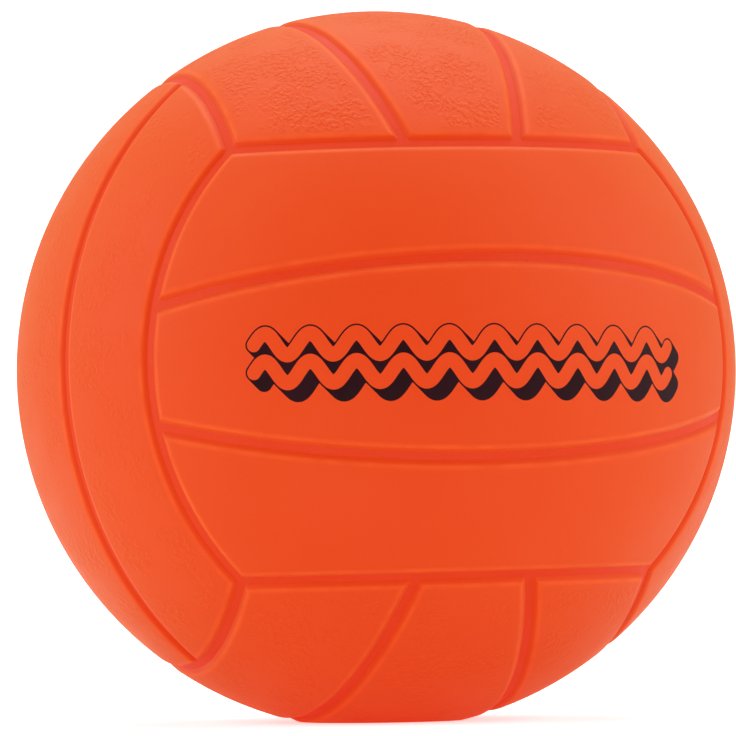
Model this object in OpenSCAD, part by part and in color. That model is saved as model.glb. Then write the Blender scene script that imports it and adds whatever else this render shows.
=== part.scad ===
// Water polo ball: eighteen cover panels on a wound carcass, with a bladder and a needle valve.
// The origin is the ball's centre. +Z runs out through the valve, -Y out through the middle of
// the front group, and +X is to the right of someone who looks at the front group.

/* [Ball] */
// Outside diameter of the ball
ball_d = 220; // [190:1:250]
// Angle from a group's middle to each of the two seams that split it into strips, in degrees
seam_tilt = 15.3; // [12:0.1:19]

/* [Cover panels] */
// Thickness of a cover panel, which is the depth of the channels too
cover_t = 1.2; // [0.8:0.1:2]
// Width of a channel between the feet of its two walls
channel_floor_w = 2.6; // [2:0.1:5]
// How far a channel's wall leans back between its foot and its lip
wall_lean = 0.9; // [0.4:0.05:1.2]
// Width of the rounded lip at the top of a channel's wall
lip_w = 0.7; // [0.3:0.05:1]
// Height of that lip
lip_h = 0.4; // [0.2:0.05:0.6]

/* [Carcass] */
// Thickness of the rubber undercover
undercover_t = 0.5; // [0.3:0.05:1]
// Thickness of the layer of wound thread
winding_t = 0.3; // [0.2:0.05:0.8]
// Thickness of the bladder's wall
bladder_t = 0.7; // [0.4:0.05:1.2]
// Film of cement between one layer and the next
cement_t = 0.1; // [0.1:0.01:0.2]

/* [Valve housing] */
// Depth of the valve's face below the ball's surface
face_drop = 0.5; // [0.4:0.05:1]
// Diameter of the housing's neck, which goes through every layer
neck_d = 11; // [10:0.25:14]
// Clearance between the neck and the holes that it goes through
neck_gap = 0.2; // [0.1:0.05:0.4]
// Diameter of the reinforcing patch
patch_d = 44; // [36:1:60]
// Thickness of the reinforcing patch
patch_t = 0.6; // [0.4:0.05:1]
// Diameter of the housing's flange
flange_d = 30; // [24:1:34]
// Thickness of the flange
flange_t = 1.2; // [0.8:0.1:2]
// Thickness of the wall of the housing's barrel, below the flange
barrel_wall = 1.5; // [1:0.1:2]
// Thickness of the barrel's end
barrel_end_t = 1.4; // [1:0.1:2]
// Diameter of the air hole in the barrel's end
air_hole_d = 2.8; // [2.4:0.1:3.5]

/* [Valve core] */
// Diameter of the core's head
head_d = 7.2; // [6.4:0.1:8]
// Thickness of the head
head_t = 2; // [1.5:0.1:3]
// Diameter of the core's stem
stem_d = 4.8; // [4.2:0.1:5.4]
// Length of the stem between the head and the collar
stem_len = 8.6; // [7:0.1:11]
// Diameter of the collar that holds the core in
collar_d = 6.2; // [5.8:0.1:6.6]
// Length of the collar
collar_len = 2.6; // [2:0.1:4]
// Length of the tapered tail below the collar
tail_len = 6; // [5:0.1:8]
// Diameter of the tail's tip
tail_tip_d = 2.6; // [2.4:0.1:3.4]
// Thickness of the closed lips at the end of the needle's passage
closed_lip_t = 2.4; // [1.5:0.1:3]
// Diameter of the needle's passage
needle_d = 2; // [1.6:0.05:2.4]
// Diameter of the cone that leads the needle in
mouth_d = 4.4; // [3.4:0.1:5]
// Depth of that cone
mouth_h = 1.1; // [0.8:0.1:1.5]
// Clearance between the core and the housing
core_gap = 0.1; // [0.05:0.01:0.2]

/* [Hidden] */
$fn = 180;

// Length by which every cut runs past what it cuts
overrun = 1;

// The layers, as radii from the outside in
ball_r = ball_d / 2;
cover_in_r = ball_r - cover_t;
undercover_out_r = cover_in_r - cement_t;
undercover_in_r = undercover_out_r - undercover_t;
winding_out_r = undercover_in_r - cement_t;
winding_in_r = winding_out_r - winding_t;
bladder_out_r = winding_in_r - cement_t;
bladder_in_r = bladder_out_r - bladder_t;
patch_out_r = bladder_in_r - cement_t;
patch_in_r = patch_out_r - patch_t;
flange_out_r = patch_in_r - cement_t;
flange_in_r = flange_out_r - flange_t;

// Angle between the axis of a group and the corners where three groups meet
corner_angle = acos(1 / sqrt(3));
// Size of the spaces that the panels are cut with, well outside the ball
reach = ball_d;

// Where the lip's two facets meet, as shares of its width and of its height
lip_knee_w_share = 0.4;
lip_knee_h_share = 0.3;
// Size of the lip at a strip's two ends, as a share of its size along the strip's sides
end_lip_share = 1.25;

// A panel's edge as [distance from the middle of the channel, depth below the ball's surface],
// with the foot of the wall, its shoulder, the middle of the lip and the top of the lip
function panel_edge(lip_w, lip_h) = let (shoulder_s = channel_floor_w / 2 + wall_lean) [
    [channel_floor_w / 2, cover_t],
    [shoulder_s, lip_h],
    [shoulder_s + lip_w * lip_knee_w_share, lip_h * lip_knee_h_share],
    [shoulder_s + lip_w, 0]
];
side_edge = panel_edge(lip_w, lip_h);
end_edge = panel_edge(lip_w * end_lip_share, lip_h * end_lip_share);

// Heights along the valve's axis, from the face down
face_z = ball_r - face_drop;
mouth_z = face_z - mouth_h;
head_z = face_z - head_t;
collar_top_z = head_z - stem_len;
collar_z = collar_top_z - collar_len;
tail_z = collar_z - tail_len;
passage_z = tail_z + closed_lip_t;
barrel_end_top_z = tail_z - core_gap;
barrel_z = barrel_end_top_z - barrel_end_t;

// Slope of the collar's two edges, as a share of its length
collar_edge_share = 0.3;

cover_colour = [0.93, 0.29, 0.13];
undercover_colour = [0.92, 0.32, 0.23];
thread_colour = [0.93, 0.91, 0.85];
bladder_colour = [0.16, 0.16, 0.17];
patch_colour = [0.45, 0.44, 0.42];
valve_colour = [0.12, 0.12, 0.13];

// Point at a radius and at an angle from the axis
function polar(r, angle) = [r * sin(angle), r * cos(angle)];

// Angle that a distance along the ball's surface spans from the centre
function span(distance) = distance / ball_r * 180 / PI;

// Point of a panel's edge, on the far side (side = 1) or near side (side = -1) of a channel
function edge_point(p, angle, side) = polar(ball_r - p[1], angle + side * span(p[0]));

// The straight line from a to b, run on past b by the overrun in depth
function run_on(a, b) = b + (b - a) * overrun / abs(b[1] - a[1]);

// A channel's wall from below the panel to above the ball, and on outwards
function wall_outline(edge, angle, side) = let (top = run_on(edge[2], edge[3])) concat(
    [for (p = [run_on(edge[1], edge[0]), edge[1], edge[2], top]) edge_point(p, angle, side)],
    [polar(reach, angle + side * span(top[0]))]
);

// Outline of all that lies on one side of a channel whose middle lies at an angle from the axis
function side_outline(edge, angle, side) = let (wall = wall_outline(edge, angle, side)) concat(
    [[0, wall[0][1]]],
    wall,
    side > 0 ? [[reach, -reach], [0, -reach]] : [[0, reach]]
);

// All that lies inside the ring-shaped channel round the z axis
module inside(edge, angle) {
    rotate_extrude() polygon(side_outline(edge, angle, -1));
}

// All that lies outside it
module outside(edge, angle) {
    rotate_extrude() polygon(side_outline(edge, angle, 1));
}

module shell(out_r, in_r) {
    difference() {
        sphere(r = out_r);
        sphere(r = in_r);
    }
}

// A vertical hole for the housing's neck, through whatever layer it is taken from
module neck_hole() {
    cylinder(d = neck_d + 2 * neck_gap, h = reach);
}

// Turns what faces +Z to the seam above the group's middle
module at_seam() {
    rotate([-90 - seam_tilt, 0, 0]) children();
}

// The cover all round, turned so that both poles of its spheres lie outside the group
module cover_shell() {
    rotate([90, 0, 0]) shell(ball_r, cover_in_r);
}

// All that lies inside the group's own channel at the two ends of its strips
module between_ends() {
    rotate([0, 0, 90]) inside(end_edge, corner_angle);
}

// A group faces +Z and its strips run along X. The middle strip lies between the two seams.
module middle_strip() {
    color(cover_colour) intersection() {
        cover_shell();
        between_ends();
        at_seam() outside(side_edge, 90);
        mirror([0, 1, 0]) at_seam() outside(side_edge, 90);
    }
}

// An outer strip lies between a seam and the next group (side = 1 towards +Y, -1 towards -Y)
module outer_strip(side) {
    color(cover_colour) mirror([0, side > 0 ? 0 : 1, 0]) intersection() {
        cover_shell();
        between_ends();
        at_seam() inside(side_edge, 90);
        rotate([-90, 0, 0]) outside(side_edge, corner_angle);
    }
}

// Places of the six groups: out of each group's middle, and its strips' direction
module to_front() { rotate([90, 0, 0]) children(); }
module to_back() { rotate([0, 0, 180]) to_front() children(); }
module to_left() { rotate([0, -90, 0]) children(); }
module to_right() { rotate([0, 0, 180]) to_left() children(); }
module to_top() { rotate([0, 0, 90]) children(); }
module to_bottom() { rotate([180, 0, 0]) to_top() children(); }

module front_top_strip() { to_front() outer_strip(1); }
module front_middle_strip() { to_front() middle_strip(); }
module front_bottom_strip() { to_front() outer_strip(-1); }

module back_top_strip() { to_back() outer_strip(1); }
module back_middle_strip() { to_back() middle_strip(); }
module back_bottom_strip() { to_back() outer_strip(-1); }

module left_front_strip() { to_left() outer_strip(-1); }
module left_middle_strip() { to_left() middle_strip(); }
module left_back_strip() { to_left() outer_strip(1); }

module right_front_strip() { to_right() outer_strip(1); }
module right_middle_strip() { to_right() middle_strip(); }
module right_back_strip() { to_right() outer_strip(-1); }

module top_left_strip() { to_top() outer_strip(1); }
module top_right_strip() { to_top() outer_strip(-1); }

// The valve's face shows in a hole in the middle of this strip
module top_middle_strip() {
    difference() {
        to_top() middle_strip();
        neck_hole();
    }
}

module bottom_left_strip() { to_bottom() outer_strip(1); }
module bottom_middle_strip() { to_bottom() middle_strip(); }
module bottom_right_strip() { to_bottom() outer_strip(-1); }

// One layer of the carcass, with the hole for the valve
module layer(out_r, in_r) {
    difference() {
        shell(out_r, in_r);
        neck_hole();
    }
}

module undercover() {
    color(undercover_colour) layer(undercover_out_r, undercover_in_r);
}

module thread_winding() {
    color(thread_colour) layer(winding_out_r, winding_in_r);
}

module bladder() {
    color(bladder_colour) layer(bladder_out_r, bladder_in_r);
}

// The part of a layer that lies in a round disc about the valve's axis
module cap(out_r, in_r, d) {
    intersection() {
        shell(out_r, in_r);
        cylinder(d = d, h = reach);
    }
}

module valve_patch() {
    color(patch_colour) difference() {
        cap(patch_out_r, patch_in_r, patch_d);
        neck_hole();
    }
}

// Outline of the core's outside, from its face to the tip of its tail, moved out by a gap
function core_outline(gap) = [
    [head_d / 2 + gap, face_z],
    [head_d / 2 + gap, head_z - gap],
    [stem_d / 2 + gap, head_z - gap],
    [stem_d / 2 + gap, collar_top_z + gap],
    [collar_d / 2 + gap, collar_top_z + gap - collar_len * collar_edge_share],
    [collar_d / 2 + gap, collar_z - gap + collar_len * collar_edge_share],
    [stem_d / 2 + gap, collar_z - gap]
];

module valve_housing() {
    barrel_r = collar_d / 2 + core_gap + barrel_wall;
    color(valve_colour) difference() {
        union() {
            cap(flange_out_r, flange_in_r, flange_d);
            translate([0, 0, flange_in_r - flange_t]) cylinder(d = neck_d, h = face_z - flange_in_r + flange_t);
            translate([0, 0, barrel_z]) cylinder(r = barrel_r, h = flange_in_r - barrel_z);
        }
        rotate_extrude() polygon(concat(
            [[0, face_z + overrun], [head_d / 2 + core_gap, face_z + overrun]],
            core_outline(core_gap),
            [[stem_d / 2 + core_gap, barrel_end_top_z], [air_hole_d / 2, barrel_end_top_z]],
            [[air_hole_d / 2, barrel_z - overrun], [0, barrel_z - overrun]]
        ));
    }
}

module valve_core() {
    color(valve_colour) rotate_extrude() polygon(concat(
        [[0, passage_z], [needle_d / 2, passage_z], [needle_d / 2, mouth_z], [mouth_d / 2, face_z]],
        core_outline(0),
        [[tail_tip_d / 2, tail_z], [0, tail_z]]
    ));
}

front_top_strip();
front_middle_strip();
front_bottom_strip();
back_top_strip();
back_middle_strip();
back_bottom_strip();
left_front_strip();
left_middle_strip();
left_back_strip();
right_front_strip();
right_middle_strip();
right_back_strip();
top_left_strip();
top_middle_strip();
top_right_strip();
bottom_left_strip();
bottom_middle_strip();
bottom_right_strip();
undercover();
thread_winding();
bladder();
valve_patch();
valve_housing();
valve_core();
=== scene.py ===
import math

import bmesh
import bpy
import numpy as np
from mathutils import Matrix


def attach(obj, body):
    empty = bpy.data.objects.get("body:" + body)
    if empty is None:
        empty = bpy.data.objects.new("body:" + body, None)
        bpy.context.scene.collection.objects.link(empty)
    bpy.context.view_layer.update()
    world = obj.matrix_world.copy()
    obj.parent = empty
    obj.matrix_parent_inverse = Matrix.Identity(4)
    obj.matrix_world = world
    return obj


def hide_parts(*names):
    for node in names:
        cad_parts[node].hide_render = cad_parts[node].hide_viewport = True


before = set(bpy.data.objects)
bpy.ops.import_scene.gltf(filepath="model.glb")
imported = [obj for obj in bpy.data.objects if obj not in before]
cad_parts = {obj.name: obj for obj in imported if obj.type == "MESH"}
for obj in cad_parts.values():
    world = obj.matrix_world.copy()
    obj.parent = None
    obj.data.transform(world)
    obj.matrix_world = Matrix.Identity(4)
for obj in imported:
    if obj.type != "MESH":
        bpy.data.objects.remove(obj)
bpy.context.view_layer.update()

# Bladder
# The air bag at the middle of the ball, blown up tight against the thread wound round it.
# It is moulded in black butyl rubber, dusted with chalk so that it doesn't stick.

MM = 0.001
ball_r = 110 * MM

bladder_black = (0.022, 0.022, 0.024, 1.0)
chalk_grey = (0.11, 0.11, 0.108, 1.0)


def add_node(tree, kind, inputs=None, **settings):
    """A new node with its settings, and with each input set to a value or joined to a socket."""
    node = tree.nodes.new(kind)
    for name, value in settings.items():
        setattr(node, name, value)
    for name, value in (inputs or {}).items():
        if isinstance(value, bpy.types.NodeSocket):
            tree.links.new(value, node.inputs[name])
        else:
            node.inputs[name].default_value = value
    return node


def new_effect(name, inputs, outputs):
    """An empty shader node group with its named inputs and outputs, and its two end nodes."""
    effect = bpy.data.node_groups.new(name, "ShaderNodeTree")
    for label, (kind, value) in inputs.items():
        socket = effect.interface.new_socket(name=label, in_out="INPUT", socket_type=kind)
        socket.default_value = value
    for label, kind in outputs.items():
        effect.interface.new_socket(name=label, in_out="OUTPUT", socket_type=kind)
    return effect, effect.nodes.new("NodeGroupInput"), effect.nodes.new("NodeGroupOutput")


def fill_effect(material, effect, inputs):
    """Places a shared effect in a material, with its own values or joined sockets."""
    return add_node(material.node_tree, "ShaderNodeGroup", inputs, node_tree=effect)


def new_finish(name, **constants):
    """A material with its shader's constant values, named with _ for a space."""
    material = bpy.data.materials.new(name)
    material.use_nodes = True
    shader = material.node_tree.nodes["Principled BSDF"]
    for label, value in constants.items():
        shader.inputs[label.replace("_", " ")].default_value = value
    return material, shader


def make_mottle():
    """Two tones of one material in soft, uneven patches with a fine speckle in them."""
    effect, given, result = new_effect(
        "mottle",
        {
            "Tone": ("NodeSocketColor", (0.5, 0.5, 0.5, 1.0)),
            "Second Tone": ("NodeSocketColor", (0.4, 0.4, 0.4, 1.0)),
            "Patch Scale": ("NodeSocketFloat", 30.0),
            "Speckle Scale": ("NodeSocketFloat", 900.0),
        },
        {"Color": "NodeSocketColor", "Share": "NodeSocketFloat"},
    )
    place = add_node(effect, "ShaderNodeTexCoord")
    patches = add_node(effect, "ShaderNodeTexNoise", {
        "Vector": place.outputs["Object"], "Scale": given.outputs["Patch Scale"], "Detail": 4.0,
    })
    speckle = add_node(effect, "ShaderNodeTexNoise", {
        "Vector": place.outputs["Object"], "Scale": given.outputs["Speckle Scale"], "Detail": 2.0,
    })
    both = add_node(effect, "ShaderNodeMath", {0: patches.outputs["Fac"], 1: speckle.outputs["Fac"]},
                    operation="ADD")
    share = add_node(effect, "ShaderNodeMapRange", {
        "Value": both.outputs[0], "From Min": 0.7, "From Max": 1.3,
    })
    blend = add_node(effect, "ShaderNodeMix", {
        0: share.outputs[0], 6: given.outputs["Tone"], 7: given.outputs["Second Tone"],
    }, data_type="RGBA")
    effect.links.new(blend.outputs[2], result.inputs["Color"])
    effect.links.new(share.outputs[0], result.inputs["Share"])
    return effect


def make_satin():
    """A roughness that wanders between two values, as a handled rubber surface's does."""
    effect, given, result = new_effect(
        "satin",
        {
            "Smoother": ("NodeSocketFloat", 0.4),
            "Rougher": ("NodeSocketFloat", 0.5),
            "Scale": ("NodeSocketFloat", 60.0),
        },
        {"Roughness": "NodeSocketFloat"},
    )
    place = add_node(effect, "ShaderNodeTexCoord")
    wander = add_node(effect, "ShaderNodeTexNoise", {
        "Vector": place.outputs["Object"], "Scale": given.outputs["Scale"], "Detail": 5.0,
    })
    span = add_node(effect, "ShaderNodeMapRange", {
        "Value": wander.outputs["Fac"], "From Min": 0.3, "From Max": 0.7,
        "To Min": given.outputs["Smoother"], "To Max": given.outputs["Rougher"],
    })
    effect.links.new(span.outputs[0], result.inputs["Roughness"])
    return effect


def make_fine_grain():
    """The faint even tooth of a moulded or cast rubber surface, as a height from 0 to 1."""
    effect, given, result = new_effect(
        "fine grain",
        {"Scale": ("NodeSocketFloat", 1500.0)},
        {"Height": "NodeSocketFloat"},
    )
    place = add_node(effect, "ShaderNodeTexCoord")
    tooth = add_node(effect, "ShaderNodeTexNoise", {
        "Vector": place.outputs["Object"], "Scale": given.outputs["Scale"], "Detail": 3.0,
    })
    effect.links.new(tooth.outputs["Fac"], result.inputs["Height"])
    return effect


mottle = make_mottle()
satin = make_satin()
fine_grain = make_fine_grain()


def dress_rubber(material, shader, tone, second_tone, patch_scale, grain_scale, grain_depth, gloss):
    """Joins the three shared effects to a plain rubber's shader."""
    tree = material.node_tree
    tones = fill_effect(material, mottle, {
        "Tone": tone, "Second Tone": second_tone, "Patch Scale": patch_scale,
        "Speckle Scale": grain_scale,
    })
    rough = fill_effect(material, satin, {"Smoother": gloss[0], "Rougher": gloss[1]})
    tooth = fill_effect(material, fine_grain, {"Scale": grain_scale})
    bump = add_node(tree, "ShaderNodeBump", {
        "Height": tooth.outputs["Height"], "Distance": grain_depth, "Strength": 1.0,
    })
    tree.links.new(tones.outputs["Color"], shader.inputs["Base Color"])
    tree.links.new(rough.outputs["Roughness"], shader.inputs["Roughness"])
    tree.links.new(bump.outputs["Normal"], shader.inputs["Normal"])
    return material


def paint(piece, material):
    """Gives a piece one material in place of what it had."""
    piece.data.materials.clear()
    piece.data.materials.append(material)


butyl, butyl_shader = new_finish("bladder butyl")
dress_rubber(butyl, butyl_shader, bladder_black, chalk_grey, patch_scale=38.0, grain_scale=900.0,
             grain_depth=0.05 * MM, gloss=(0.62, 0.85))
paint(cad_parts["bladder"], butyl)

# Valve patch
# A round disc of rubbered cotton cloth, cemented to the inside of the bladder where the valve
# goes through, so that the thin butyl doesn't tear.

cloth_grey = (0.16, 0.155, 0.145, 1.0)
cloth_dark = (0.09, 0.088, 0.084, 1.0)
cloth_thread_pitch = 0.55 * MM
cloth_thread_height = 0.12 * MM
band_spacing = 0.31  # metres from band to band of a wave texture with a scale of 1


def make_weave():
    """A plain weave seen along z: two sets of threads at right angles, as a height."""
    effect, given, result = new_effect(
        "weave",
        {"Band Scale": ("NodeSocketFloat", 560.0)},
        {"Height": "NodeSocketFloat"},
    )
    place = add_node(effect, "ShaderNodeTexCoord")
    sets = [
        add_node(effect, "ShaderNodeTexWave", {
            "Vector": place.outputs["Object"], "Scale": given.outputs["Band Scale"],
            "Distortion": 0.4, "Detail": 1.0,
        }, wave_type="BANDS", bands_direction=direction)
        for direction in ("X", "Y")
    ]
    higher = add_node(effect, "ShaderNodeMath", {0: sets[0].outputs["Fac"], 1: sets[1].outputs["Fac"]},
                      operation="MAXIMUM")
    effect.links.new(higher.outputs[0], result.inputs["Height"])
    return effect


weave = make_weave()
patch_cloth, patch_shader = new_finish("rubbered cloth")
dress_rubber(patch_cloth, patch_shader, cloth_grey, cloth_dark, patch_scale=90.0, grain_scale=1400.0,
             grain_depth=0.05 * MM, gloss=(0.7, 0.9))
patch_weave = fill_effect(patch_cloth, weave, {"Band Scale": band_spacing / cloth_thread_pitch})
patch_bump = add_node(patch_cloth.node_tree, "ShaderNodeBump", {
    "Height": patch_weave.outputs["Height"], "Distance": cloth_thread_height, "Strength": 1.0,
})
patch_cloth.node_tree.links.new(patch_bump.outputs["Normal"], patch_shader.inputs["Normal"])
paint(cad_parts["valve_patch"], patch_cloth)

# Valve housing and valve core
# The housing is a socket moulded in soft black rubber and bonded to the patch. Its neck stands
# in the hole through every layer, and the core is a plug, pushed in, that grips the needle.

valve_round = 0.18 * MM
valve_steps = 96
valve_black = (0.020, 0.020, 0.021, 1.0)
valve_bloom = (0.034, 0.033, 0.032, 1.0)

housing_outline = [
    (3.7, 109.5), (5.5, 109.5), (5.5, 106.06), (15.0, 105.14), (15.0, 103.92), (5.5, 104.86),
    (5.5, 103.8), (4.7, 103.8), (4.7, 88.8), (1.4, 88.8), (1.4, 90.2), (2.5, 90.2), (2.5, 96.2),
    (3.2, 96.98), (3.2, 98.22), (2.5, 99.0), (2.5, 107.4), (3.7, 107.4),
]
core_outline = [
    (0.0, 92.7), (1.0, 92.7), (1.0, 108.4), (2.2, 109.5), (3.6, 109.5), (3.6, 107.5), (2.4, 107.5),
    (2.4, 98.9), (3.1, 98.12), (3.1, 97.08), (2.4, 96.3), (1.3, 90.3), (0.0, 90.3),
]


def link_piece(name, mesh, material):
    """Puts a mesh into the scene as a piece of the ball."""
    piece = bpy.data.objects.new(name, mesh)
    bpy.context.scene.collection.objects.link(piece)
    mesh.materials.append(material)
    for face in mesh.polygons:
        face.use_smooth = True
    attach(piece, "root")
    return piece


def turned_piece(name, outline, steps, rounding, material):
    """A closed outline of (radius, height) in mm turned about z, with its edges rounded."""
    shape = bmesh.new()
    points = [shape.verts.new((r * MM, 0.0, z * MM)) for r, z in outline]
    edges = [shape.edges.new((a, b)) for a, b in zip(points, points[1:] + points[:1])
             if a.co.x > 0 or b.co.x > 0]
    bmesh.ops.spin(shape, geom=points + edges, cent=(0, 0, 0), axis=(0, 0, 1), steps=steps,
                   angle=2 * math.pi)
    bmesh.ops.remove_doubles(shape, verts=shape.verts, dist=0.001 * MM)
    bmesh.ops.recalc_face_normals(shape, faces=shape.faces)
    mesh = bpy.data.meshes.new(name)
    shape.to_mesh(mesh)
    shape.free()
    piece = link_piece(name, mesh, material)
    bevel = piece.modifiers.new("rounded edges", "BEVEL")
    bevel.width = rounding
    bevel.segments = 3
    bevel.limit_method = "ANGLE"
    bevel.angle_limit = math.radians(25)
    return piece


valve_rubber, valve_shader = new_finish("valve rubber", Specular_IOR_Level=0.3)
dress_rubber(valve_rubber, valve_shader, valve_black, valve_bloom, patch_scale=260.0,
             grain_scale=2600.0, grain_depth=0.03 * MM, gloss=(0.36, 0.52))
housing = turned_piece("valve_socket", housing_outline, valve_steps, valve_round, valve_rubber)
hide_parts("valve_housing")
core = turned_piece("valve_plug", core_outline, valve_steps, valve_round, valve_rubber)
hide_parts("valve_core")

# Thread winding
# Several hundred metres of nylon thread, wound over the bladder in every direction and set in
# latex cement. It keeps the ball round and at its size when it is pumped up.

thread_white = (0.78, 0.74, 0.64, 1.0)
cement_amber = (0.62, 0.52, 0.36, 1.0)
thread_pitch = 0.6 * MM
thread_height = 0.2 * MM
crossing_scale = 45.0


def make_winding():
    """Threads that cross in three directions, one lot over another, as a height."""
    effect, given, result = new_effect(
        "winding",
        {"Band Scale": ("NodeSocketFloat", 520.0)},
        {"Height": "NodeSocketFloat"},
    )
    place = add_node(effect, "ShaderNodeTexCoord")
    lots = [
        add_node(effect, "ShaderNodeTexWave", {
            "Vector": place.outputs["Object"], "Scale": given.outputs["Band Scale"],
            "Distortion": 1.2, "Detail": 1.0,
        }, wave_type="BANDS", bands_direction=direction)
        for direction in ("X", "Y", "DIAGONAL")
    ]
    over = add_node(effect, "ShaderNodeTexVoronoi", {
        "Vector": place.outputs["Object"], "Scale": crossing_scale,
    })
    pick = add_node(effect, "ShaderNodeSeparateColor", {0: over.outputs["Color"]})
    first = add_node(effect, "ShaderNodeMix", {
        0: pick.outputs[0], 2: lots[0].outputs["Fac"], 3: lots[1].outputs["Fac"],
    })
    second = add_node(effect, "ShaderNodeMix", {
        0: pick.outputs[1], 2: first.outputs[0], 3: lots[2].outputs["Fac"],
    })
    effect.links.new(second.outputs[0], result.inputs["Height"])
    return effect


winding = make_winding()
nylon, nylon_shader = new_finish("wound nylon")
dress_rubber(nylon, nylon_shader, thread_white, cement_amber, patch_scale=55.0, grain_scale=1200.0,
             grain_depth=0.05 * MM, gloss=(0.45, 0.7))
nylon_threads = fill_effect(nylon, winding, {"Band Scale": band_spacing / thread_pitch})
nylon_bump = add_node(nylon.node_tree, "ShaderNodeBump", {
    "Height": nylon_threads.outputs["Height"], "Distance": thread_height, "Strength": 1.0,
})
nylon.node_tree.links.new(nylon_bump.outputs["Normal"], nylon_shader.inputs["Normal"])
paint(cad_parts["thread_winding"], nylon)

# Undercover
# The thin rubber coat over the winding, in the cover's orange but a shade pinker. It shows
# only as the floor of the channels between the panels, which are cemented onto it.

undercover_out_r = 108.7 * MM
undercover_in_r = 108.2 * MM
neck_hole_r = 5.7 * MM
undercover_rings = 180
undercover_spokes = 360
undercover_orange = (0.18, 0.026, 0.0034, 1.0)
undercover_pink = (0.20, 0.034, 0.0078, 1.0)
# Painted glow: the coat shines red by itself, with no lamp behind it, so the channel floors stay bright
# red in shade as in light.
undercover_painted_glow = (1.0, 0.024, 0.0022, 1.0)
undercover_painted_glow_strength = 0.57


def mesh_from_arrays(name, points, faces):
    """A mesh from an array of points and a list of faces by point numbers."""
    mesh = bpy.data.meshes.new(name)
    mesh.from_pydata(points.tolist(), [], faces)
    mesh.validate()
    mesh.update()
    return mesh


def holed_shell(name, out_r, in_r, hole_r, rings, spokes):
    """A thin round shell about the middle of the ball, with a hole at its top."""
    turns = np.arange(spokes) * 2 * math.pi / spokes
    points = []
    for radius in (out_r, in_r):
        falls = np.linspace(math.asin(hole_r / radius), math.pi, rings + 1)[:-1]
        for fall in falls:
            ring = np.stack([np.sin(fall) * np.cos(turns), np.sin(fall) * np.sin(turns),
                             np.full(spokes, np.cos(fall))], axis=1)
            points.append(ring * radius)
    points.append(np.array([[0, 0, -out_r], [0, 0, -in_r]]))
    points = np.concatenate(points)
    inner = rings * spokes
    pole = 2 * rings * spokes
    faces = []
    for i in range(rings - 1):
        for j in range(spokes):
            k = (j + 1) % spokes
            a, b, c, d = i * spokes + j, i * spokes + k, (i + 1) * spokes + k, (i + 1) * spokes + j
            faces.append((a, d, c, b))
            faces.append((inner + a, inner + b, inner + c, inner + d))
    last = (rings - 1) * spokes
    for j in range(spokes):
        k = (j + 1) % spokes
        faces.append((last + j, pole, last + k))
        faces.append((inner + last + j, inner + last + k, pole + 1))
        faces.append((j, k, inner + k, inner + j))
    return mesh_from_arrays(name, points, faces)


undercover_rubber, undercover_shader = new_finish(
    "undercover rubber", Specular_IOR_Level=0.12, Emission_Color=undercover_painted_glow,
    Emission_Strength=undercover_painted_glow_strength)
dress_rubber(undercover_rubber, undercover_shader, undercover_orange, undercover_pink,
             patch_scale=45.0, grain_scale=1500.0, grain_depth=0.02 * MM, gloss=(0.50, 0.60))
undercover = link_piece("undercover_coat", holed_shell(
    "undercover_coat", undercover_out_r, undercover_in_r, neck_hole_r, undercover_rings,
    undercover_spokes), undercover_rubber)
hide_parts("undercover")

# Cover panels
# Eighteen strips of orange rubber, each moulded with leaning walls and rounded lips, and
# cemented down in six groups of three. Front and back are smooth, the others have a fine
# leathery grain that stops short of their lips.

cover_r = ball_r - 0.03 * MM
seam_tilt = math.radians(15.3)
corner_angle = math.acos(1 / math.sqrt(3))
foot = 1.2 * MM
brow = 4.0 * MM
wall_depth = 1.34 * MM
underside_depth = 1.2 * MM
rim_depth = 1.38 * MM
rim_w = 0.75 * MM
shoulder = 2.5
corner_round = 2.2 * MM
edge_steps = [d * MM for d in (1.2, 1.36, 1.52, 1.68, 1.84, 2.0, 2.16, 2.32, 2.5, 2.7, 2.92, 3.16, 3.42,
                               3.7, 4.05, 4.8)]
rows_between = 20
columns_per_half = 42
valve_block = 4
hole_lip_w = 0.7 * MM
hole_lip_share = 0.6
hole_gaps = [2.0 * MM, 1.2 * MM] + [hole_lip_w * k for k in (1, 0.75, 0.5, 0.3, 0.15, 0.05, 0)]
hole_mark = 2.0 * MM
hole_points_per_edge = 3

cover_orange = (0.21, 0.0355, 0.0036, 1.0)
cover_light = (0.225, 0.043, 0.0060, 1.0)
# Painted highlight along the panels' rounded lips, and painted shade on their leaning walls
lip_highlight_orange = (0.28, 0.060, 0.009, 1.0)
wall_shade_orange = (0.20, 0.030, 0.0018, 1.0)
# Painted glow: the panels shine red by themselves, with no lamp behind it, so their red stays bright in
# shade as in light; the real rubber is a luminous orange.
painted_red_glow = (1.0, 0.025, 0.001, 1.0)
painted_glow_strength = 0.578
leather_scale = 680.0
leather_stretch = (1.15, 0.7, 1.0)
side_grain_depth = 0.11 * MM
top_grain_depth = 0.25 * MM
bottom_grain_depth = 0.09 * MM


def ease(share):
    """A share from 0 to 1 that starts and ends softly."""
    share = np.clip(share, 0.0, 1.0)
    return share * share * (3 - 2 * share)


def strip_columns():
    """Planes across a strip, from its one end to the other, as (side, share, cosine)."""
    last = corner_angle - edge_steps[-1] / cover_r
    half = []
    for turn in np.linspace(0, last, columns_per_half + 1)[1:]:
        share = math.sin(turn) / (math.sin(turn) + math.cos(turn) - math.cos(last))
        half.append((share, math.cos(last)))
    half += [(1.0, math.cos(corner_angle - step / cover_r)) for step in edge_steps[-2::-1]]
    return ([(-1, *pair) for pair in reversed(half)] + [(1, 0.0, 1.0)] + [(1, *pair) for pair in half])


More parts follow.
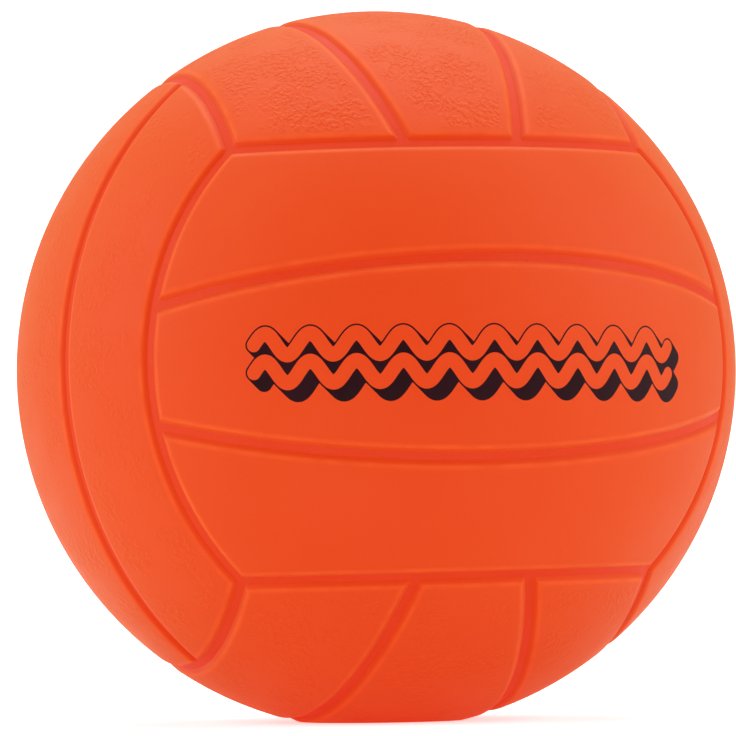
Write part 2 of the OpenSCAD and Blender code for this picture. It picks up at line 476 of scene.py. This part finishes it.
def strip_rows(outer):
    """Planes along a strip, from its one side to the other, as (normal, distance)."""
    cos_t, sin_t = math.cos(seam_tilt), math.sin(seam_tilt)
    if outer:
        near = [((0, cos_t, -sin_t), math.sin(s / cover_r)) for s in edge_steps]
        far = [((0, 1, 0), math.cos(corner_angle + s / cover_r)) for s in edge_steps]
    else:
        near = [((0, cos_t, sin_t), math.sin(s / cover_r)) for s in edge_steps]
        far = [((0, cos_t, -sin_t), -math.sin(s / cover_r)) for s in edge_steps]
    between = []
    for share in np.linspace(0, 1, rows_between + 1)[1:-1]:
        normal = tuple((1 - share) * a + share * b for a, b in zip(near[-1][0], far[-1][0]))
        between.append((normal, (1 - share) * near[-1][1] + share * far[-1][1]))
    return near + between + far[::-1]


def crossings(rows, columns):
    """Where each row's plane and each column's plane meet on the unit sphere."""
    n1 = np.array([r[0] for r in rows], float)[:, None, :]
    c1 = np.array([r[1] for r in rows], float)[:, None]
    n2 = np.array([(side * (1 - share), 0, -share) for side, share, cosine in columns])[None]
    c2 = np.array([-share * cosine for side, share, cosine in columns])[None]
    outwards = np.array([(side * share, 0, 1 - share) for side, share, cosine in columns])[None]
    n11, n22, n12 = (n1 * n1).sum(-1), (n2 * n2).sum(-1), (n1 * n2).sum(-1)
    det = n11 * n22 - n12 * n12
    base = (((c1 * n22 - c2 * n12) / det)[..., None] * n1 + ((c2 * n11 - c1 * n12) / det)[..., None] * n2)
    line = np.cross(n1, n2)
    reach = np.sqrt(np.maximum(0, 1 - (base * base).sum(-1)) / (line * line).sum(-1))
    way = np.sign((line * outwards).sum(-1))
    return base + (way * reach)[..., None] * line


def lip_distance(points, outer):
    """Distance of each point from the middle of the nearest channel, rounded at the corners."""
    along, across, out = points[..., 0], points[..., 1], points[..., 2]
    cos_t, sin_t = math.cos(seam_tilt), math.sin(seam_tilt)
    to_end = cover_r * (corner_angle - np.arccos(out))
    over_seam = cover_r * np.arcsin(across * cos_t - out * sin_t)
    if outer:
        to_side = np.minimum(over_seam, cover_r * (np.arccos(across) - corner_angle))
    else:
        under_seam = cover_r * np.arcsin(-across * cos_t - out * sin_t)
        to_side = np.minimum(-over_seam, -under_seam)
    inward = np.hypot(np.maximum(corner_round - to_end, 0), np.maximum(corner_round - to_side, 0))
    return np.where(inward > 0, corner_round - inward, np.minimum(to_end, to_side))


def grid_faces(rows, columns, start, flip, skip=()):
    """Four-sided faces over a grid of points, without the cells to skip."""
    faces = []
    for i in range(rows - 1):
        for j in range(columns - 1):
            if (i, j) in skip:
                continue
            a = start + i * columns + j
            face = (a, a + 1, a + columns + 1, a + columns)
            faces.append(face[::-1] if flip else face)
    return faces


def strip_mesh(name, along, across, out, side, with_valve=False):
    """One panel as a closed mesh: its face, its underside and the rim that joins them."""
    outer = side != 0
    rows, columns = strip_rows(outer), strip_columns()
    local = crossings(rows, columns)
    distance = lip_distance(local, outer)
    top_depth = wall_depth * (1 - np.clip((distance - foot) / (brow - foot), 0.0, 1.0)) ** shoulder
    low_depth = underside_depth + (rim_depth - underside_depth) * (1 - ease((distance - foot) / rim_w))
    if side < 0:
        local = local * [1, -1, 1]
    turn = np.array([along, across, out], float)
    rays = local @ turn
    nr, nc = distance.shape
    top = (rays * (cover_r - top_depth)[..., None]).reshape(-1, 3)
    low = (rays * (cover_r - low_depth)[..., None]).reshape(-1, 3)
    flip = side < 0
    skip = set()
    mid_row, mid_column = nr // 2, nc // 2
    if with_valve:
        skip = {(i, j) for i in range(mid_row - valve_block, mid_row + valve_block)
                for j in range(mid_column - valve_block, mid_column + valve_block)}
    faces = grid_faces(nr, nc, 0, flip, skip) + grid_faces(nr, nc, nr * nc, not flip, skip)
    rim = ([(0, j) for j in range(nc)] + [(i, nc - 1) for i in range(1, nr)]
           + [(nr - 1, j) for j in range(nc - 2, -1, -1)] + [(i, 0) for i in range(nr - 2, 0, -1)])
    rim = [i * nc + j for i, j in rim]
    for a, b in zip(rim, rim[1:] + rim[:1]):
        face = (a, a + nr * nc, b + nr * nc, b)
        faces.append(face[::-1] if flip else face)
    points = [top, low]
    marks = [distance.reshape(-1), distance.reshape(-1)]
    if with_valve:
        block = ([(mid_row - valve_block, mid_column + k) for k in range(-valve_block, valve_block)]
                 + [(mid_row + k, mid_column + valve_block) for k in range(-valve_block, valve_block)]
                 + [(mid_row + valve_block, mid_column - k) for k in range(-valve_block, valve_block)]
                 + [(mid_row - k, mid_column - valve_block) for k in range(-valve_block, valve_block)])
        loop = [i * nc + j for i, j in block]
        hole_points, hole_marks, hole_faces = hole_fill(top, low, loop, nr * nc, 2 * nr * nc)
        points.append(hole_points)
        marks.append(hole_marks)
        faces += hole_faces
    points, marks = np.concatenate(points), np.concatenate(marks)
    used = sorted({point for face in faces for point in face})
    places = {old: new for new, old in enumerate(used)}
    faces = [[places[point] for point in face] for face in faces]
    mesh = mesh_from_arrays(name, points[used], faces)
    mark = mesh.attributes.new("lip_distance", "FLOAT", "POINT")
    mark.data.foreach_set("value", (marks[used] / MM).astype(np.float32))
    return mesh


def hole_fill(top, low, loop, low_start, start):
    """Rings from a square block's rim in to the round hole for the valve's neck, on both sides."""
    per_edge = hole_points_per_edge
    angles = [math.atan2(top[a][1], top[a][0]) for a in loop]
    turns = []
    for a, b in zip(angles, angles[1:] + angles[:1]):
        step = (b - a + math.pi) % (2 * math.pi) - math.pi
        turns += [a + step * k / per_edge for k in range(per_edge)]
    turns = np.array(turns)
    count = len(turns)
    points, marks, faces = [], [], []
    for under in (False, True):
        for gap in hole_gaps:
            radius = neck_hole_r + gap
            fall = math.asin(radius / cover_r)
            inset = 1 - min(gap / hole_lip_w, 1)
            lip_depth = hole_lip_share * hole_lip_w * (1 - math.sqrt(1 - inset ** 2))
            depth = underside_depth if under else lip_depth
            r = cover_r - depth
            points.append(np.stack([np.cos(turns) * radius, np.sin(turns) * radius,
                                    np.full(count, r * math.cos(fall))], axis=1))
            marks.append(np.full(count, hole_mark + gap))
    rings = len(hole_gaps)
    clockwise = (angles[1] - angles[0] + math.pi) % (2 * math.pi) - math.pi < 0
    for under in (0, 1):
        first = start + under * rings * count
        flip = clockwise != bool(under)
        for m, a in enumerate(loop):
            b = loop[(m + 1) % len(loop)]
            ring = [first + (m * per_edge + k) % count for k in range(per_edge + 1)]
            face = (a + under * low_start, b + under * low_start, *reversed(ring))
            faces.append(face[::-1] if flip else face)
        for i in range(rings - 1):
            for j in range(count):
                k = (j + 1) % count
                face = (first + i * count + j, first + i * count + k,
                        first + (i + 1) * count + k, first + (i + 1) * count + j)
                faces.append(face[::-1] if flip else face)
    edge_top, edge_low = start + (rings - 1) * count, start + (2 * rings - 1) * count
    for j in range(count):
        k = (j + 1) % count
        face = (edge_top + j, edge_top + k, edge_low + k, edge_low + j)
        faces.append(face[::-1] if clockwise else face)
    return np.concatenate(points), np.concatenate(marks), faces


def make_leather_grain():
    """Short raised strokes in patches, gone in other places and near a panel's lips, as a height."""
    effect, given, result = new_effect(
        "leather grain",
        {"Scale": ("NodeSocketFloat", 300.0), "Lip Distance": ("NodeSocketFloat", 10.0)},
        {"Height": "NodeSocketFloat"},
    )
    place = add_node(effect, "ShaderNodeTexCoord")
    drawn_out = add_node(effect, "ShaderNodeMapping", {
        "Vector": place.outputs["Object"], "Scale": leather_stretch,
    })
    strokes = add_node(effect, "ShaderNodeTexNoise", {
        "Vector": drawn_out.outputs["Vector"], "Scale": given.outputs["Scale"], "Detail": 0.8,
        "Roughness": 0.5, "Distortion": 0.35,
    })
    crest = add_node(effect, "ShaderNodeMapRange", {
        "Value": strokes.outputs["Fac"], "From Min": 0.44, "From Max": 0.64,
    }, interpolation_type="SMOOTHSTEP")
    patches = add_node(effect, "ShaderNodeTexNoise", {
        "Vector": place.outputs["Object"], "Scale": 60.0, "Detail": 2.0,
    })
    where = add_node(effect, "ShaderNodeMapRange", {
        "Value": patches.outputs["Fac"], "From Min": 0.38, "From Max": 0.58, "To Min": 0.10, "To Max": 1.0,
    }, interpolation_type="SMOOTHSTEP")
    inside = add_node(effect, "ShaderNodeMapRange", {
        "Value": given.outputs["Lip Distance"], "From Min": 4.0, "From Max": 6.5,
    }, interpolation_type="SMOOTHSTEP")
    there = add_node(effect, "ShaderNodeMath", {0: crest.outputs[0], 1: where.outputs[0]},
                     operation="MULTIPLY")
    height = add_node(effect, "ShaderNodeMath", {0: there.outputs[0], 1: inside.outputs[0]},
                      operation="MULTIPLY")
    effect.links.new(height.outputs[0], result.inputs["Height"])
    return effect


def make_lip_highlight_and_wall_shade():
    """Painted shade, a deeper tone, on a panel's leaning walls and a thin, uneven painted highlight along
    its lips.
    """
    effect, given, result = new_effect(
        "lip highlight and wall shade",
        {
            "Color": ("NodeSocketColor", (0.8, 0.05, 0.01, 1.0)),
            "Lip Highlight Color": ("NodeSocketColor", (0.9, 0.1, 0.03, 1.0)),
            "Wall Shade Color": ("NodeSocketColor", (0.7, 0.03, 0.01, 1.0)),
            "Lip Distance": ("NodeSocketFloat", 10.0),
        },
        {"Color": "NodeSocketColor"},
    )
    place = add_node(effect, "ShaderNodeTexCoord")
    waver = add_node(effect, "ShaderNodeTexNoise", {"Vector": place.outputs["Object"], "Scale": 140.0})
    unevenness = add_node(effect, "ShaderNodeMapRange", {
        "Value": waver.outputs["Fac"], "From Min": 0.35, "From Max": 0.6, "To Min": 0.45, "To Max": 1.0,
    })
    # Painted highlight: a lighter tone from 2.9 to 4.3 mm out from a channel's middle, along the lips
    line = add_node(effect, "ShaderNodeMapRange", {
        "Value": given.outputs["Lip Distance"], "From Min": 2.9, "From Max": 4.3,
        "To Min": 1.0, "To Max": 0.0,
    }, interpolation_type="SMOOTHSTEP")
    share = add_node(effect, "ShaderNodeMath", {0: line.outputs[0], 1: unevenness.outputs[0]},
                     operation="MULTIPLY")
    lip_highlighted = add_node(effect, "ShaderNodeMix", {
        0: share.outputs[0], 6: given.outputs["Color"], 7: given.outputs["Lip Highlight Color"],
    }, data_type="RGBA")
    # Painted shade: a deeper tone nearer than 2.8 mm to a channel's middle, on the walls
    wall = add_node(effect, "ShaderNodeMapRange", {
        "Value": given.outputs["Lip Distance"], "From Min": 1.9, "From Max": 2.8,
        "To Min": 1.0, "To Max": 0.0,
    }, interpolation_type="SMOOTHSTEP")
    wall_shaded = add_node(effect, "ShaderNodeMix", {
        0: wall.outputs[0], 6: lip_highlighted.outputs[2], 7: given.outputs["Wall Shade Color"],
    }, data_type="RGBA")
    effect.links.new(wall_shaded.outputs[2], result.inputs["Color"])
    return effect


leather_grain = make_leather_grain()
lip_highlight_and_wall_shade = make_lip_highlight_and_wall_shade()


def cover_finish(name, grain_depth):
    """The panels' orange with a painted red glow, painted highlights on the lips and painted shade on the
    walls, and with the leathery grain of a given depth, or with none at 0.
    """
    material, shader = new_finish(name, Specular_IOR_Level=0.11, Emission_Color=painted_red_glow,
                                  Emission_Strength=painted_glow_strength, Sheen_Weight=0.09,
                                  Sheen_Roughness=0.6, Sheen_Tint=(0.1, 1.0, 0.25, 1.0))
    dress_rubber(material, shader, cover_orange, cover_light, patch_scale=24.0, grain_scale=2200.0,
                 grain_depth=0.012 * MM, gloss=(0.52, 0.62))
    tree = material.node_tree
    mark = add_node(tree, "ShaderNodeAttribute", attribute_name="lip_distance")
    # Painted highlight on the lips and painted shade on the walls, by each point's distance from the
    # channel
    highlight_and_shade = fill_effect(material, lip_highlight_and_wall_shade, {
        "Color": shader.inputs["Base Color"].links[0].from_socket, "Lip Highlight Color": lip_highlight_orange,
        "Wall Shade Color": wall_shade_orange, "Lip Distance": mark.outputs["Fac"],
    })
    tree.links.new(highlight_and_shade.outputs["Color"], shader.inputs["Base Color"])
    if grain_depth > 0:
        grain = fill_effect(material, leather_grain, {
            "Scale": leather_scale, "Lip Distance": mark.outputs["Fac"],
        })
        bump = add_node(tree, "ShaderNodeBump", {
            "Height": grain.outputs["Height"], "Distance": grain_depth, "Strength": 1.0,
            "Normal": shader.inputs["Normal"].links[0].from_socket,
        })
        tree.links.new(bump.outputs["Normal"], shader.inputs["Normal"])
    return material


smooth_orange = cover_finish("smooth cover rubber", 0.0)
grained_orange = cover_finish("grained cover rubber", side_grain_depth)
top_orange = cover_finish("deeply grained cover rubber", top_grain_depth)
bottom_orange = cover_finish("lightly grained cover rubber", bottom_grain_depth)

# Each group's name, its strips' direction, the direction across them, the way out, its material
# slot and finish, and the names of its two outer strips
groups = [
    ("front", (1, 0, 0), (0, 0, 1), (0, -1, 0), "smooth_cover", smooth_orange, "top", "bottom"),
    ("back", (-1, 0, 0), (0, 0, 1), (0, 1, 0), "smooth_cover", smooth_orange, "top", "bottom"),
    ("left", (0, 0, 1), (0, 1, 0), (-1, 0, 0), "grained_cover", grained_orange, "back", "front"),
    ("right", (0, 0, 1), (0, -1, 0), (1, 0, 0), "grained_cover", grained_orange, "front", "back"),
    ("top", (0, 1, 0), (-1, 0, 0), (0, 0, 1), "grained_cover", top_orange, "left", "right"),
    ("bottom", (0, -1, 0), (-1, 0, 0), (0, 0, -1), "grained_cover", bottom_orange, "left", "right"),
]
for group, along, across, out, slot, finish, plus, minus in groups:
    for part, side in ((plus, 1), ("middle", 0), (minus, -1)):
        name = f"{group}_{part}_panel"
        with_valve = group == "top" and side == 0
        panel = link_piece(name, strip_mesh(name, along, across, out, side, with_valve), finish)
        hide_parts(f"{group}_{part}_strip")

# Printed waves
# Two wavy ribbons screen-printed on the front middle panel in one thin film of dark maroon
# ink: a fine outline and a block shadow, with the panel's own orange left bare inside them.

print_cell = 0.25
print_left, print_right = -68.5, 65.5
wave_length = 13.4
wave_rise = 3.1
ribbon_gap = 8.0
ribbon_w = 4.2
ribbon_step = 0.3
outline_w = 0.45
shadow_cells = 12
print_turn = math.radians(-0.9)
print_middle = (-1.2, -0.2)
ink_out_r = cover_r + 0.022 * MM
ink_in_r = cover_r - 0.03 * MM
ink_maroon = (0.014, 0.0012, 0.0028, 1.0)
ink_thin = (0.022, 0.0022, 0.0048, 1.0)


def ribbon_field(x, y):
    """Distance in mm from the edge of the two ribbons, less than 0 inside them."""
    field = np.full(x.shape, 1e3)
    for middle in (-ribbon_gap / 2, ribbon_gap / 2):
        for step in np.arange(print_left, print_right + 0.01, ribbon_step):
            height = middle + wave_rise * math.sin(2 * math.pi * (step - print_left) / wave_length)
            near = np.abs(x[0] - step) < ribbon_w + shadow_cells * print_cell + 2
            field[:, near] = np.minimum(field[:, near], np.hypot(x[:, near] - step, y[:, near] - height))
    return field - ribbon_w / 2


def ink_field(x, y):
    """Distance from the edge of the ink: outline and shadow, but not the ribbons' inside."""
    bare = ribbon_field(x, y)
    inked = bare.copy()
    for k in range(1, shadow_cells + 1):
        moved = np.full(bare.shape, 1e3)
        moved[:-k, k:] = bare[k:, :-k]
        inked = np.minimum(inked, moved)
    return np.maximum(inked - outline_w, -bare)


def film_mesh(name, x, y, field):
    """The part of a grid where the field is under 0, as a thin closed film on the ball."""
    corners, flat, faces = {}, [], []

    def corner(key, px, py):
        """The number of a point of the film, made when it is first asked for."""
        if key not in corners:
            corners[key] = len(flat)
            flat.append((px, py))
        return corners[key]

    ny, nx = field.shape
    inked = field < 0
    for i in range(ny - 1):
        for j in range(nx - 1):
            cell = [(i, j), (i, j + 1), (i + 1, j + 1), (i + 1, j)]
            if not (inked[i, j] or inked[i, j + 1] or inked[i + 1, j + 1] or inked[i + 1, j]):
                continue
            face = []
            for a, b in zip(cell, cell[1:] + cell[:1]):
                if inked[a]:
                    face.append(corner(a, x[a], y[a]))
                if inked[a] != inked[b]:
                    share = field[a] / (field[a] - field[b])
                    face.append(corner((min(a, b), max(a, b)), x[a] + share * (x[b] - x[a]),
                                       y[a] + share * (y[b] - y[a])))
            faces.append(face)
    flat = np.array(flat)
    across = print_middle[0] + flat[:, 0] * math.cos(print_turn) - flat[:, 1] * math.sin(print_turn)
    up = print_middle[1] + flat[:, 0] * math.sin(print_turn) + flat[:, 1] * math.cos(print_turn)
    lon, lat = across * MM / ball_r, up * MM / ball_r
    rays = np.stack([np.cos(lat) * np.sin(lon), -np.cos(lat) * np.cos(lon), np.sin(lat)], axis=1)
    count = len(flat)
    sides = {}
    for face in faces:
        for a, b in zip(face, face[1:] + face[:1]):
            if (b, a) in sides:
                del sides[(b, a)]
            else:
                sides[(a, b)] = True
    closed = [tuple(face) for face in faces] + [tuple(count + v for v in reversed(face)) for face in faces]
    closed += [(b, a, count + a, count + b) for a, b in sides]
    return mesh_from_arrays(name, np.concatenate([rays * ink_out_r, rays * ink_in_r]), closed)


print_half_h = ribbon_gap / 2 + wave_rise + ribbon_w / 2 + shadow_cells * print_cell + 1
grid_x, grid_y = np.meshgrid(
    np.arange(print_left - ribbon_w, print_right + ribbon_w + shadow_cells * print_cell, print_cell),
    np.arange(-print_half_h, print_half_h, print_cell))
ink, ink_shader = new_finish("screen ink", Specular_IOR_Level=0.08)
dress_rubber(ink, ink_shader, ink_maroon, ink_thin, patch_scale=60.0, grain_scale=2200.0,
             grain_depth=0.01 * MM, gloss=(0.34, 0.46))
link_piece("wave_print", film_mesh("wave_print", grid_x, grid_y, ink_field(grid_x, grid_y)), ink)

# Floor and backdrop
# A plain white sheet that lies flat under the ball and curves up far away on every side. The
# ball has rolled a little to one side and its own weight presses its lowest part flat, so the
# sheet leans by as much and the ball sits a little into it.

floor_z = -ball_r + 2.9 * MM
sheet_white = (0.88, 0.88, 0.88, 1.0)
sheet_second_white = (0.90, 0.90, 0.90, 1.0)
sheet_flat_r = 3.4
sheet_bend_r = 0.9
sheet_top_z = 3.2
sheet_spokes = 96
sheet_lean = math.radians(0.88)
lean_about = (-0.304, 0.953, 0.0)
shaded_r = 0.25
bright_r = 0.8
shaded_white = 0.55
bright_white = 1.0
white_in_the_rubber = 0.145


def bowl_mesh(name, flat_r, bend_r, top_z, spokes):
    """A level round sheet that bends up at its edge, as rings of (radius, height)."""
    line = [(flat_r * k / 4, floor_z) for k in range(1, 5)]
    for k in range(1, 17):
        turn = k / 16 * math.pi / 2
        line.append((flat_r + bend_r * math.sin(turn), floor_z + bend_r * (1 - math.cos(turn))))
    line.append((flat_r + bend_r, top_z))
    points = [(0.0, 0.0, floor_z)]
    for r, z in line:
        for j in range(spokes):
            angle = 2 * math.pi * j / spokes
            points.append((r * math.cos(angle), r * math.sin(angle), z))
    faces = [(0, 1 + j, 1 + (j + 1) % spokes) for j in range(spokes)]
    for i in range(len(line) - 1):
        for j in range(spokes):
            k = (j + 1) % spokes
            first = 1 + i * spokes
            faces.append((first + j, first + spokes + j, first + spokes + k, first + k))
    return mesh_from_arrays(name, np.array(points), faces)


paper, paper_shader = new_finish("white sheet", Roughness=0.9, Specular_IOR_Level=0.1,
                                 Emission_Strength=1.0)
paper_tones = fill_effect(paper, mottle, {
    "Tone": sheet_white, "Second Tone": sheet_second_white, "Patch Scale": 3.0, "Speckle Scale": 200.0,
})
paper.node_tree.links.new(paper_tones.outputs["Color"], paper_shader.inputs["Base Color"])
spot = add_node(paper.node_tree, "ShaderNodeTexCoord")
reach = add_node(paper.node_tree, "ShaderNodeVectorMath", {0: spot.outputs["Object"]}, operation="LENGTH")
brightness = add_node(paper.node_tree, "ShaderNodeMapRange", {
    "Value": reach.outputs["Value"], "From Min": shaded_r, "From Max": bright_r,
    "To Min": shaded_white, "To Max": bright_white,
}, interpolation_type="SMOOTHSTEP")
seen = add_node(paper.node_tree, "ShaderNodeLightPath")
shine = add_node(paper.node_tree, "ShaderNodeMapRange", {
    "Value": seen.outputs["Is Camera Ray"], "To Min": white_in_the_rubber,
    "To Max": brightness.outputs[0],
})
paper.node_tree.links.new(shine.outputs[0], paper_shader.inputs["Emission Color"])
sheet = bpy.data.objects.new("paper_sheet", bowl_mesh(
    "paper_sheet", sheet_flat_r, sheet_bend_r, sheet_top_z, sheet_spokes))
bpy.context.scene.collection.objects.link(sheet)
sheet.data.materials.append(paper)
for face in sheet.data.polygons:
    face.use_smooth = True
sheet.matrix_world = Matrix.Rotation(sheet_lean, 4, lean_about)

# Light
# Large soft boxes: one overhead, one to each side and two weaker ones at the front, with a faint
# even light from all round. The place behind the camera stays dim, as in the photograph.

all_round_light = 0.10
world = bpy.data.worlds.new("studio")
world.use_nodes = True
world.node_tree.nodes["Background"].inputs["Color"].default_value = (1.0, 1.0, 1.0, 1.0)
world.node_tree.nodes["Background"].inputs["Strength"].default_value = all_round_light
bpy.context.scene.world = world


def soft_box(name, place, size, power):
    """A square lamp that faces the ball, with its place and size in metres and power in watts."""
    lamp = bpy.data.lights.new(name, "AREA")
    lamp.shape = "SQUARE"
    lamp.size = size
    lamp.energy = power
    holder = bpy.data.objects.new(name, lamp)
    bpy.context.scene.collection.objects.link(holder)
    x, y, z = place
    length = math.sqrt(x * x + y * y + z * z)
    holder.location = place
    holder.rotation_mode = "XYZ"
    holder.rotation_euler = (math.acos(z / length), 0.0, math.atan2(y, x) + math.pi / 2)


soft_box("front_left_box", place=(-1.3, -1.4, 1.2), size=0.9, power=1.5)
soft_box("front_right_box", place=(0.9, -1.5, 0.6), size=1.2, power=1.3)
soft_box("overhead_box", place=(0.15, 0.35, 1.6), size=1.6, power=32.0)
soft_box("right_box", place=(1.65, -0.75, 0.9), size=1.6, power=22.5)
soft_box("left_box", place=(-1.7, 0.3, 0.7), size=1.6, power=25.0)

# Camera
# A long lens from a little to the left of the front and a little below the ball's middle,
# about fifteen ball radii away, turned slightly about its own line of sight.

view_turn = math.radians(17.70)
view_pitch = math.radians(-2.26)
view_roll = math.radians(-0.88)
view_distance = 14.6 * ball_r
lens_per_pixel = 5240.2
ball_middle_px = (376.2, 370.7)
frame_px = 736
sensor_w = 36.0


def turn_about(axis, angle):
    """A turn about x (0), y (1) or z (2) as an array of 3 by 3."""
    c, s = math.cos(angle), math.sin(angle)
    a, b = [(1, 2), (2, 0), (0, 1)][axis]
    matrix = np.eye(3)
    matrix[a, a], matrix[a, b], matrix[b, a], matrix[b, b] = c, -s, s, c
    return matrix


to_view = turn_about(2, view_turn) @ turn_about(0, view_pitch) @ turn_about(1, view_roll)
right, depth, up = to_view
lens = bpy.data.cameras.new("camera")
lens.sensor_width = sensor_w
lens.lens = lens_per_pixel / frame_px * sensor_w
lens.shift_x = (frame_px / 2 - ball_middle_px[0]) / frame_px
lens.shift_y = (ball_middle_px[1] - frame_px / 2) / frame_px
lens.clip_start = 0.05
lens.clip_end = 50.0
camera = bpy.data.objects.new("camera", lens)
bpy.context.scene.collection.objects.link(camera)
placed = np.eye(4)
placed[:3, 0], placed[:3, 1], placed[:3, 2], placed[:3, 3] = right, up, -depth, -depth * view_distance
camera.matrix_world = Matrix(placed.tolist())
bpy.context.scene.camera = camera
bpy.context.scene.view_settings.view_transform = "Standard"
